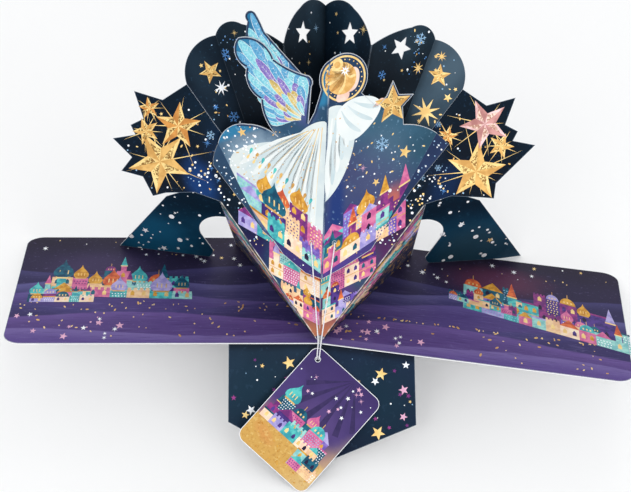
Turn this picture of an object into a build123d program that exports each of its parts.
from build123d import *
from math import sin, cos, tan, asin, sqrt, radians, degrees
import os

os.makedirs("parts", exist_ok=True)

# A pop-up christmas card, standing open. Millimetres, +Z up.
# The viewer stands at -Y. The table is z = 0.
# Every radial fold of the pop-up runs through one point, the crest, on the card's middle plane.
# The sheets are laid out with the crest at x = y = 0, then the whole card is centred on its bounding box.

# Card stock
card = 0.5
cover_card = 0.6
glue = 0.1
seat = 0.3

# Covers: two flat boards that slope down from the crest to their rear edges
cover_length = 205.0
cover_depth = 150.0
cover_corner = 12.0
cover_tilt = 21.0
cover_inset = 0.6
left_sweep = 0.8
right_sweep = 8.5

# Foot: a folded pentagon in front of the crest, with a glued flap under each cover
foot_slope = 41.3
foot_half_width = {-1: 59.0, 1: 62.0}
foot_corner = {-1: (50.5, 59.2), 1: (44.2, 68.9)}
foot_flap = 20.0

# Cone: valley in the middle, a ridge on each side, and a wall down to each cover
valley_rise = 45.0
ridge_spread = 35.0
ridge_rise = 55.2
ridge_length = 114.0
wall_line = 21.0
wall_line_length = 150.0
cone_tip = 5.0
cone_flap = 12.0

# Fan: six lobes folded as an accordion, glued to the front of the star arms
fan_middle_rise = 47.1
fan_ridge_spread = 8.0
fan_ridge_rise = 56.5
fan_valley_angle = 20.0
fan_start = 118.0
fan_middle_length = 217.0
fan_ridge_length = 196.5
fan_valley_length = 209.0
star_hole = 7.6
star_waist = 0.45
# Round lobes: shares of the way between the ends of the two folds, each with its height above that line
inner_lobe_top = [(0.26, 10.0), (0.63, 13.3), (0.86, 9.6)]
middle_lobe_top = [(0.27, 6.0), (0.585, 9.2), (0.845, 8.3)]
inner_star_hole = (0.55, -4.2, 0)
middle_star_hole = (0.465, -3.4, 20)
outer_lobe_width = 28.0

# Front panel: its middle fold stands forward of the cone's valley
panel_rise = 65.4
panel_flap_angle = 28.2
panel_hole = 2.6
panel_hole_up = 70.5
panel_hole_out = 7.5
panel_bottom = 46.5
flap_low = 84.0
flap_top = {-1: 146.0, 1: 156.0}
head = (178.5, 10.0)
halo = 16.0
nape = 6.6
hand_star_at = (158.0, 44.5)
hand_star = 15.5
hand_star_waist = 0.48

# Rear support: two legs that stand on the covers, its top leans on the cone's valley
support_contact = 112.0
support_rise = 97.0
support_turn = {-1: 12.5, 1: 11.0}
leg_drop = 146.0
leg_shoulder = {-1: (61.0, 106.0), 1: (59.0, 114.5)}
leg_tip = {-1: 150.0, 1: 161.7}
leg_heel = {-1: 81.0, 1: 90.0}
# Where the round cut beside the cone begins, turns and ends, measured up from the leg's lowest edge
leg_cut = {-1: (18.0, 24.0, 30.5), 1: (15.0, 20.0, 25.0)}
leg_cut_out = {-1: 0.0, 1: 9.0}

# Message tag and elastic thread
tag_width = 57.6
tag_length = 78.7
tag_corner = 6.0
tag_turn = 41.5
tag_shift = -6.1
tag_down = 47.6
tag_hole = 3.2
tag_hole_inset = 7.0
thread = 0.8
strand_gap = 1.5
strand_lift = 1.3

# Directions and frames

def unit(v):
    return v.normalized()

def direction(spread, rise, side=1):
    out = side * sin(radians(spread))
    forward = cos(radians(spread))
    return Vector(out, forward * cos(radians(rise)), forward * sin(radians(rise)))

def swept(v, side):
    angle = -side * (left_sweep if side < 0 else right_sweep)
    return v.rotate(Axis.Z, angle)

def cover_vector(out, along, up, side):
    tilt = radians(cover_tilt)
    v = Vector(side * out, along * cos(tilt) + up * sin(tilt), up * cos(tilt) - along * sin(tilt))
    return swept(v, side)

def between(first, second, angle):
    across = unit(first.cross(second).cross(first))
    return unit(first * cos(radians(angle)) + across * sin(radians(angle)))

class Frame:
    # A facet's plane: along the fold, then across it, with the printed side facing hint
    def __init__(self, origin, along, towards, hint):
        self.origin = origin
        self.along = unit(along)
        self.normal = unit(self.along.cross(towards))
        if self.normal.dot(hint) < 0:
            self.normal = self.normal * -1
        self.plane = Plane(origin=origin, x_dir=self.along, z_dir=self.normal)
        self.flip = 1 if self.plane.y_dir.dot(towards) > 0 else -1
        self.across = self.plane.y_dir * self.flip

    def place(self, shape):
        return self.plane * shape

    def point(self, a, b, lift=0.0):
        return self.origin + self.along * a + self.across * b + self.normal * lift

def outline(frame, start, steps):
    # A step of two numbers is a line to that point, one of four an arc over the first point to the second
    edges = []
    here = start
    for step in steps:
        end = step[-2:]
        a = (here[0], here[1] * frame.flip)
        b = (end[0], end[1] * frame.flip)
        if len(step) == 2:
            edges.append(Line(a, b))
        else:
            edges.append(ThreePointArc(a, (step[0], step[1] * frame.flip), b))
        here = end
    if abs(here[0] - start[0]) + abs(here[1] - start[1]) > 0.001:
        edges.append(Line((here[0], here[1] * frame.flip), (start[0], start[1] * frame.flip)))
    return make_face(Curve() + edges)

def star(frame, centre, radius, turn):
    corners = []
    for k in range(10):
        r = radius if k % 2 == 0 else radius * star_waist
        angle = radians(turn + 36 * k)
        corners.append((centre[0] + r * cos(angle), (centre[1] + r * sin(angle)) * frame.flip))
    return make_face(Polyline(*corners, close=True))

def slab(frame, face, thickness, back=True):
    solid = extrude(face, amount=thickness)
    if back:
        solid = Pos(0, 0, -thickness) * solid
    return frame.place(solid)

def mitre(solid, point, fold, frame, other, inside):
    # Cuts a facet back to the plane that halves the angle at its fold
    normal = unit(fold.cross(frame.normal + other.normal))
    if normal.dot(inside) < 0:
        normal = normal * -1
    return solid.split(Plane(origin=point, z_dir=normal), keep=Keep.TOP)

def joined(facets):
    whole = facets[0]
    for facet in facets[1:]:
        whole = whole + facet
    return whole.clean()

nodes = {}

def save(shape, name):
    solids = shape.solids()
    print(name, "solids", len(solids), "volume", round(shape.volume, 1), "valid", shape.is_valid)
    nodes[name] = shape

viewer = Vector(0, -1, 0.6)
extra = 2.0

crest = Vector(0, 0, cover_depth * sin(radians(cover_tilt)))
cone_origin = crest + Vector(0, 0, (cover_card + glue) / cos(radians(cover_tilt)))

# Covers

def cover(side):
    upward = cover_vector(0, 0, 1, side)
    frame = Frame(crest, cover_vector(0, 1, 0, side), cover_vector(1, 0, 0, side), upward)
    r = cover_corner
    k = r * (1 - cos(radians(45)))
    steps = [
        (0, cover_length - r),
        (k, cover_length - k, r, cover_length),
        (cover_depth - r, cover_length),
        (cover_depth - k, cover_length - k, cover_depth, cover_length - r),
        (cover_depth, cover_inset),
    ]
    face = outline(frame, (0, cover_inset), steps)
    return slab(frame, face, cover_card, back=False)

left_cover = cover(-1)
right_cover = cover(1)
save(left_cover, "left_cover")
save(right_cover, "right_cover")

# Foot

foot_origin = crest - Vector(0, 0, glue / cos(radians(cover_tilt)))

def foot_vector(out, down, side):
    slope = radians(foot_slope)
    return swept(Vector(side * out, -down * cos(slope), -down * sin(slope)), side)

foot_frames = {}
foot_flaps = {}
for side in (-1, 1):
    foot_frames[side] = Frame(foot_origin, foot_vector(0, 1, side), foot_vector(1, 0, side), viewer)
    flap_along = cover_vector(0, 1, 0, side)
    flap_across = cover_vector(1, 0, 0, side)
    foot_flaps[side] = Frame(foot_origin, flap_along, flap_across, Vector(0, 0, 1))

foot_fold = unit(foot_frames[-1].normal.cross(foot_frames[1].normal))
if foot_fold.Z > 0:
    foot_fold = foot_fold * -1
foot_length = (foot_origin.Z - card * cos(radians(foot_slope))) / -foot_fold.Z
foot_tip = foot_fold * foot_length

facets = []
for side in (-1, 1):
    frame = foot_frames[side]
    tip_down = foot_tip.dot(frame.along)
    tip_out = foot_tip.dot(frame.across)
    inner = -extra
    steps = [(-extra, foot_half_width[side]), foot_corner[side], (tip_down, tip_out), (tip_down, inner)]
    face = outline(frame, (-extra, inner), steps)
    facet = slab(frame, face, card)
    facet = mitre(facet, foot_origin, foot_fold, frame, foot_frames[-side], frame.across)
    crest_line = frame.across
    facet = mitre(facet, foot_origin, crest_line, frame, foot_flaps[side], frame.along)
    facets.append(facet)
    frame = foot_flaps[side]
    width = foot_half_width[side]
    steps = [(-extra, width), (0, width), (foot_flap, width - 8), (foot_flap, 10)]
    face = outline(frame, (-extra, cover_inset), steps)
    facet = slab(frame, face, card)
    facet = mitre(facet, foot_origin, crest_line, frame, foot_frames[side], frame.along)
    facets.append(facet)
base_foot = joined(facets)
save(base_foot, "base_foot")
print("foot length", round(foot_length, 2))

# Cone with star arms

valley = direction(0, valley_rise)
ridges = {side: direction(ridge_spread, ridge_rise, side) for side in (-1, 1)}
wall_lines = {}
arms = {}
walls = {}
tabs = {}
for side in (-1, 1):
    wall_lines[side] = cover_vector(sin(radians(wall_line)), cos(radians(wall_line)), 0, side)
    arms[side] = Frame(cone_origin, valley, ridges[side], viewer)
    walls[side] = Frame(cone_origin, ridges[side], wall_lines[side], Vector(side, -0.3, 0))
    tabs[side] = Frame(cone_origin, wall_lines[side], cover_vector(-1, 0, 0, side), Vector(0, 0, -1))

top_edge = [(118, -extra), (118, 0), (152, 60), (165, 90)]
star_tips = [(155, 105), (160, 123), (143, 117), (139, 125), (133, 122), (130.5, 136)]
left_points = [(119, 124), (110.5, 130.5), (107, 117), (95, 110.5), (97, 102.5), (97.5, 84)]
right_points = [(106, 112), (96.5, 111), (97, 103), (97.5, 84)]

facets = []
for side in (-1, 1):
    frame = arms[side]
    ridge_angle = radians(valley.get_angle(ridges[side]))
    end = (ridge_length * cos(ridge_angle), ridge_length * sin(ridge_angle))
    beyond = (-extra * sin(ridge_angle), extra * cos(ridge_angle))
    ridge_tip = (end[0] + beyond[0], end[1] + beyond[1])
    ridge_start = (beyond[0], beyond[1])
    points = left_points if side < 0 else right_points
    steps = top_edge + star_tips + points + [end, ridge_tip, ridge_start, (0, 0)]
    face = outline(frame, (0, -extra), steps)
    facet = slab(frame, face, card)
    facet = mitre(facet, cone_origin, valley, frame, arms[-side], frame.across)
    trimmed = mitre(facet, cone_origin, ridges[side], frame, walls[side], frame.across * -1)
    # The arm beyond the end of the ridge keeps its full outline
    ridge_end = Plane(origin=cone_origin + ridges[side] * ridge_length, z_dir=ridges[side])
    free = facet.split(ridge_end, keep=Keep.TOP)
    facets.append(trimmed + free)
    frame = walls[side]
    wall_angle = radians(ridges[side].get_angle(wall_lines[side]))
    foot_end = (wall_line_length * cos(wall_angle), wall_line_length * sin(wall_angle))
    beyond = (-extra * sin(wall_angle), extra * cos(wall_angle))
    steps = [
        (ridge_length, -extra),
        (ridge_length, 0),
        foot_end,
        (foot_end[0] + beyond[0], foot_end[1] + beyond[1]),
        beyond,
        (0, 0),
    ]
    face = outline(frame, (0, -extra), steps)
    facet = slab(frame, face, card)
    facet = mitre(facet, cone_origin, ridges[side], frame, arms[side], frame.across)
    facet = mitre(facet, cone_origin, wall_lines[side], frame, tabs[side], frame.across * -1)
    facets.append(facet)
    frame = tabs[side]
    steps = [
        (wall_line_length, -extra),
        (wall_line_length, 0),
        (wall_line_length - 8, cone_flap),
        (30, cone_flap),
        (20, 0),
    ]
    face = outline(frame, (20, -extra), steps)
    facet = slab(frame, face, card)
    facet = mitre(facet, cone_origin, wall_lines[side], frame, walls[side], frame.across)
    facets.append(facet)
cone = joined(facets)
cone = cone - Pos(cone_origin.X, cone_origin.Y, cone_origin.Z) * Sphere(cone_tip)
save(cone, "cone_body")

# Fan

forward = Vector(0, -sin(radians(valley_rise)), cos(radians(valley_rise)))
layer = glue / arms[1].normal.dot(forward)
front_origin = cone_origin + forward * layer
fan_middle = direction(0, fan_middle_rise)
fan_ridges = {}
fan_valleys = {}
inner_lobes = {}
middle_lobes = {}
outer_lobes = {}
for side in (-1, 1):
    fan_ridges[side] = direction(fan_ridge_spread, fan_ridge_rise, side)
    fan_valleys[side] = between(valley, ridges[side], fan_valley_angle)
    inner_lobes[side] = Frame(front_origin, fan_middle, fan_ridges[side], viewer)
    middle_lobes[side] = Frame(front_origin, fan_ridges[side], fan_valleys[side], viewer)
    outer_lobes[side] = Frame(front_origin, fan_valleys[side], ridges[side], viewer)

def radial(length, angle):
    return (length * cos(radians(angle)), length * sin(radians(angle)))

def past(point, angle):
    return (point[0] - extra * sin(radians(angle)), point[1] + extra * cos(radians(angle)))

def round_lobe(frame, length, top, angle, curve, hole):
    # Two arcs from the end of the first fold over the curve's points to the end of the second
    low = radial(fan_start, angle)

    def above(share, rise):
        return (length + share * (top[0] - length) + rise, share * top[1])

    first, second, third = [above(share, rise) for share, rise in curve]
    steps = [
        (length, -extra),
        (length, 0),
        first + second,
        third + top,
        past(top, angle),
        past(low, angle),
        low,
        (fan_start, 0),
    ]
    share, rise, turn = hole
    face = outline(frame, (fan_start, -extra), steps)
    return face - star(frame, above(share, rise), star_hole, turn)

facets = []
for side in (-1, 1):
    frame = inner_lobes[side]
    angle = fan_middle.get_angle(fan_ridges[side])
    top = radial(fan_ridge_length, angle)
    face = round_lobe(frame, fan_middle_length, top, angle, inner_lobe_top, inner_star_hole)
    facet = slab(frame, face, card, back=False)
    facet = mitre(facet, front_origin, fan_middle, frame, inner_lobes[-side], frame.across)
    facet = mitre(facet, front_origin, fan_ridges[side], frame, middle_lobes[side], frame.across * -1)
    facets.append(facet)
    frame = middle_lobes[side]
    angle = fan_ridges[side].get_angle(fan_valleys[side])
    top = radial(fan_valley_length, angle)
    face = round_lobe(frame, fan_ridge_length, top, angle, middle_lobe_top, middle_star_hole)
    facet = slab(frame, face, card, back=False)
    facet = mitre(facet, front_origin, fan_ridges[side], frame, inner_lobes[side], frame.across)
    facet = mitre(facet, front_origin, fan_valleys[side], frame, outer_lobes[side], frame.across * -1)
    facets.append(facet)
    frame = outer_lobes[side]
    steps = [
        (fan_valley_length, -extra),
        (fan_valley_length, 0),
        (fan_valley_length - 3, outer_lobe_width * 0.59, fan_valley_length - 23, outer_lobe_width),
        (fan_start + 39, outer_lobe_width * 0.69),
        (fan_start + 21, outer_lobe_width * 0.475),
        (fan_start, 0),
    ]
    face = outline(frame, (fan_start, -extra), steps)
    facet = slab(frame, face, card, back=False)
    facet = mitre(facet, front_origin, fan_valleys[side], frame, middle_lobes[side], frame.across)
    facets.append(facet)
star_fan = joined(facets)
save(star_fan, "star_fan")

# Front panel with the angel

panel_fold = direction(0, panel_rise)
flap_folds = {side: between(valley, ridges[side], panel_flap_angle) for side in (-1, 1)}
panels = {side: Frame(front_origin, panel_fold, flap_folds[side], viewer) for side in (-1, 1)}
flaps = {side: Frame(front_origin, flap_folds[side], ridges[side], viewer) for side in (-1, 1)}
panel_angle = panel_fold.get_angle(flap_folds[1])
lower_edge = {
    -1: [(67, 33.5), (58.5, 26.5), (48.5, 11)],
    1: [(61.5, 34.5), (52.5, 15.5), (49, 6.5)],
}
crown = head[0] + sqrt(halo ** 2 - head[1] ** 2)

def left_top():
    # Lobe, then a wing of three rounded feathers, then the shoulder beside the middle fold
    top = radial(flap_top[-1], panel_angle)
    return [
        (139.5, 64, 142.5, 53),
        (142, 42, 137.5, 32),
        (147.5, 40.5, 160, 44),
        (167.5, 52.5, 179, 54),
        (187, 62, 197, 60),
        (197.5, 47, 187, 36),
        (182, 25, 179.5, 13),
        (177, 10.5, 173, 11),
        (149, 12.3),
        (157, 8.5),
        (166, 6),
        (head[0] - nape, sqrt(halo ** 2 - nape ** 2) - head[1]),
        (head[0], halo - head[1], crown, 0),
    ]

def right_top():
    # Round head with halo across the middle fold, then a large star in front of it, then the lobe
    middle = (head[0] + halo * cos(radians(45)), head[1] + halo * sin(radians(45)))
    points = [middle + (head[0] - halo * cos(radians(50)), head[1] + halo * sin(radians(50)))]
    points.append((hand_star_at[0], hand_star_at[1] - 11))
    for k in range(2, 7):
        r = hand_star if k % 2 == 1 else hand_star * hand_star_waist
        angle = radians(36 * k - 110)
        points.append((hand_star_at[0] + r * cos(angle), hand_star_at[1] + r * sin(angle)))
    points.append((144, 53))
    points.append((141.5, 66) + radial(flap_top[1], panel_angle))
    return points

facets = []
for side in (-1, 1):
    frame = panels[side]
    low = radial(flap_low, panel_angle)
    top = radial(flap_top[side], panel_angle)
    edge = lower_edge[side]
    if side < 0:
        steps = [past(low, panel_angle), past(top, panel_angle), top] + left_top()
        steps = steps + [(crown, -extra), (panel_bottom, -extra), (panel_bottom, 0)]
        steps = steps + list(reversed(edge))
    else:
        lobe = right_top()
        steps = edge + [(panel_bottom, 0), (panel_bottom, -extra), (crown, -extra), (crown, 0)]
        steps = steps + lobe + [past(top, panel_angle), past(low, panel_angle)]
    face = outline(frame, low, steps)
    hole = Pos(panel_hole_up, panel_hole_out * frame.flip) * Circle(panel_hole / 2)
    face = face - hole
    facet = slab(frame, face, card, back=False)
    facet = mitre(facet, front_origin, panel_fold, frame, panels[-side], frame.across)
    facet = mitre(facet, front_origin, flap_folds[side], frame, flaps[side], frame.across * -1)
    facets.append(facet)
    frame = flaps[side]
    if side < 0:
        steps = [(flap_top[side], -extra), (flap_top[side], 0), (143, 4, 135.5, 9.5), (flap_low, 0)]
    else:
        steps = [(flap_top[side], -extra), (flap_top[side], 0), (153.5, 10.5), (117, 4), (flap_low, 0)]
    face = outline(frame, (flap_low, -extra), steps)
    facet = slab(frame, face, card, back=False)
    facet = mitre(facet, front_origin, flap_folds[side], frame, panels[side], frame.across)
    facets.append(facet)
angel_panel = joined(facets)
save(angel_panel, "angel_panel")

# Far wing, glued to the back of the panel behind the near wing

frame = panels[-1]
steps = [
    (176, 13.5),
    (188, 27, 203, 43),
    (209, 46, 213.5, 49),
    (214, 54, 208, 54),
    (199, 55, 190, 55),
    (176, 50, 165, 40),
]
face = outline(frame, (152, 22), steps)
far_wing = Pos(0, 0, -glue - card) * extrude(face, amount=card)
far_wing = frame.place(far_wing)
save(far_wing, "far_wing")

# Rear support

behind = forward * -1
valley_turn = arms[1].normal.dot(forward)
support_origin = cone_origin + valley * support_contact + behind * (card / valley_turn + glue)
support_fold = direction(0, support_rise) * -1
backward = Vector(0, -support_fold.Z, support_fold.Y)
halves = {}
for side in (-1, 1):
    turn = radians(support_turn[side])
    across = Vector(side * cos(turn), 0, 0) + backward * sin(turn)
    halves[side] = Frame(support_origin, support_fold, across, viewer)

def leg(side):
    # Shoulder, tip and heel, then the round cut beside the cone, up to the middle part
    heel = leg_heel[side]
    begin, turn, end = [leg_drop - up for up in leg_cut[side]]
    out = leg_cut_out[side]
    return [
        (0, 28),
        leg_shoulder[side],
        (leg_drop, leg_tip[side]),
        (leg_drop, heel),
        (begin, heel - 1.5),
        (turn, heel - 6, end, heel - 7.5),
        (97.5, 82.3 + out),
        (80, 79.5 + out, 72.8, 69.5 + out),
        (71, 60),
        (69, -extra),
    ]

facets = []
for side in (-1, 1):
    frame = halves[side]
    face = outline(frame, (0, -extra), leg(side))
    facet = slab(frame, face, card)
    facet = mitre(facet, support_origin, support_fold, frame, halves[-side], frame.across)
    top_of_cover = crest + cover_vector(0, 0, cover_card + glue, side)
    facet = facet.split(Plane(origin=top_of_cover, z_dir=cover_vector(0, 0, 1, side)), keep=Keep.TOP)
    # A tip that reaches over the cover's rear edge ends at the table
    facet = facet.split(Plane.XY, keep=Keep.TOP)
    facets.append(facet)
rear_support = joined(facets)
save(rear_support, "rear_support")

# Message tag: leans on the foot below the crest and stands on its lowest corner

tag_top_y = -1.0
foot_rise = tan(radians(foot_slope))
tag_top = Vector(0, tag_top_y, foot_origin.Z + tag_top_y * foot_rise + seat / cos(radians(foot_slope)))
turned = radians(tag_turn)
half_wide = tag_width / 2 - tag_corner
half_long = tag_length / 2 - tag_corner
reach = tag_down + half_wide * sin(turned) + half_long * cos(turned) + tag_corner
tag_slope = asin(tag_top.Z / reach)
down = Vector(0, -cos(tag_slope), -sin(tag_slope))
right = Vector(1, 0, 0)
tag_centre = tag_top + right * tag_shift + down * tag_down
wide = right * cos(turned) + down * sin(turned)
long = right * -sin(turned) + down * cos(turned)
tag_normal = Vector(0, -sin(tag_slope), cos(tag_slope))
tag_plane = Plane(origin=tag_centre, x_dir=wide, z_dir=tag_normal)
tag_flip = 1 if tag_plane.y_dir.dot(long) > 0 else -1
hole_place = (-(tag_width / 2 - tag_hole_inset), -tag_flip * (tag_length / 2 - tag_hole_inset))
face = RectangleRounded(tag_width, tag_length, tag_corner)
face = face - Pos(hole_place[0], hole_place[1]) * Circle(tag_hole / 2)
tag = tag_plane * extrude(face, amount=card)
save(tag, "message_tag")
print("tag slope", round(degrees(tag_slope), 2), "reach", round(reach, 2))

# Elastic thread: from the tag, over the crest, through both panel holes and back

tag_eye = tag_centre + wide * hole_place[0] + tag_plane.y_dir * hole_place[1]
half_route = {}
for side in (-1, 1):
    frame = panels[side]
    apart = right * (strand_gap / 2 * side)
    half_route[side] = [
        tag_eye + tag_normal * 0.1 + apart,
        tag_eye + tag_normal * (card + 1.2) + apart,
        cone_origin + Vector(0.9 * side, -1.2, 2.2),
        frame.point(panel_hole_up, panel_hole_out, card + strand_lift),
        frame.point(panel_hole_up, panel_hole_out, -2.2),
    ]
route = half_route[-1] + list(reversed(half_route[1]))
radii = []
for k in range(1, len(route) - 1):
    before = route[k] - route[k - 1]
    after = route[k + 1] - route[k]
    bend = radians(before.get_angle(after))
    radii.append(min(12.0, 0.45 * min(before.length, after.length) / tan(bend / 2)))
path = FilletPolyline(*route, radius=radii)
start = Plane(origin=route[0], z_dir=route[1] - route[0])
elastic = sweep(start * Circle(thread / 2), path=path)
save(elastic, "elastic_thread")
print("thread radii", [round(r, 2) for r in radii], "length", round(path.length, 1))

# Centre the card over the origin and write one file for each piece

boxes = [shape.bounding_box() for shape in nodes.values()]
west = min(box.min.X for box in boxes)
east = max(box.max.X for box in boxes)
near = min(box.min.Y for box in boxes)
far = max(box.max.Y for box in boxes)
lowest = min(box.min.Z for box in boxes)
shift = Vector(-(west + east) / 2, -(near + far) / 2, -lowest)
for name, shape in nodes.items():
    export_step(Pos(shift.X, shift.Y, shift.Z) * shape, "parts/" + name + ".step")
print("lowest point before centring", round(lowest, 4))
print("crest", [round(c, 3) for c in (shift.X, shift.Y, crest.Z + shift.Z)])
print("thread route", [(round(p.X, 2), round(p.Y, 2), round(p.Z, 2)) for p in [q + shift for q in route]])
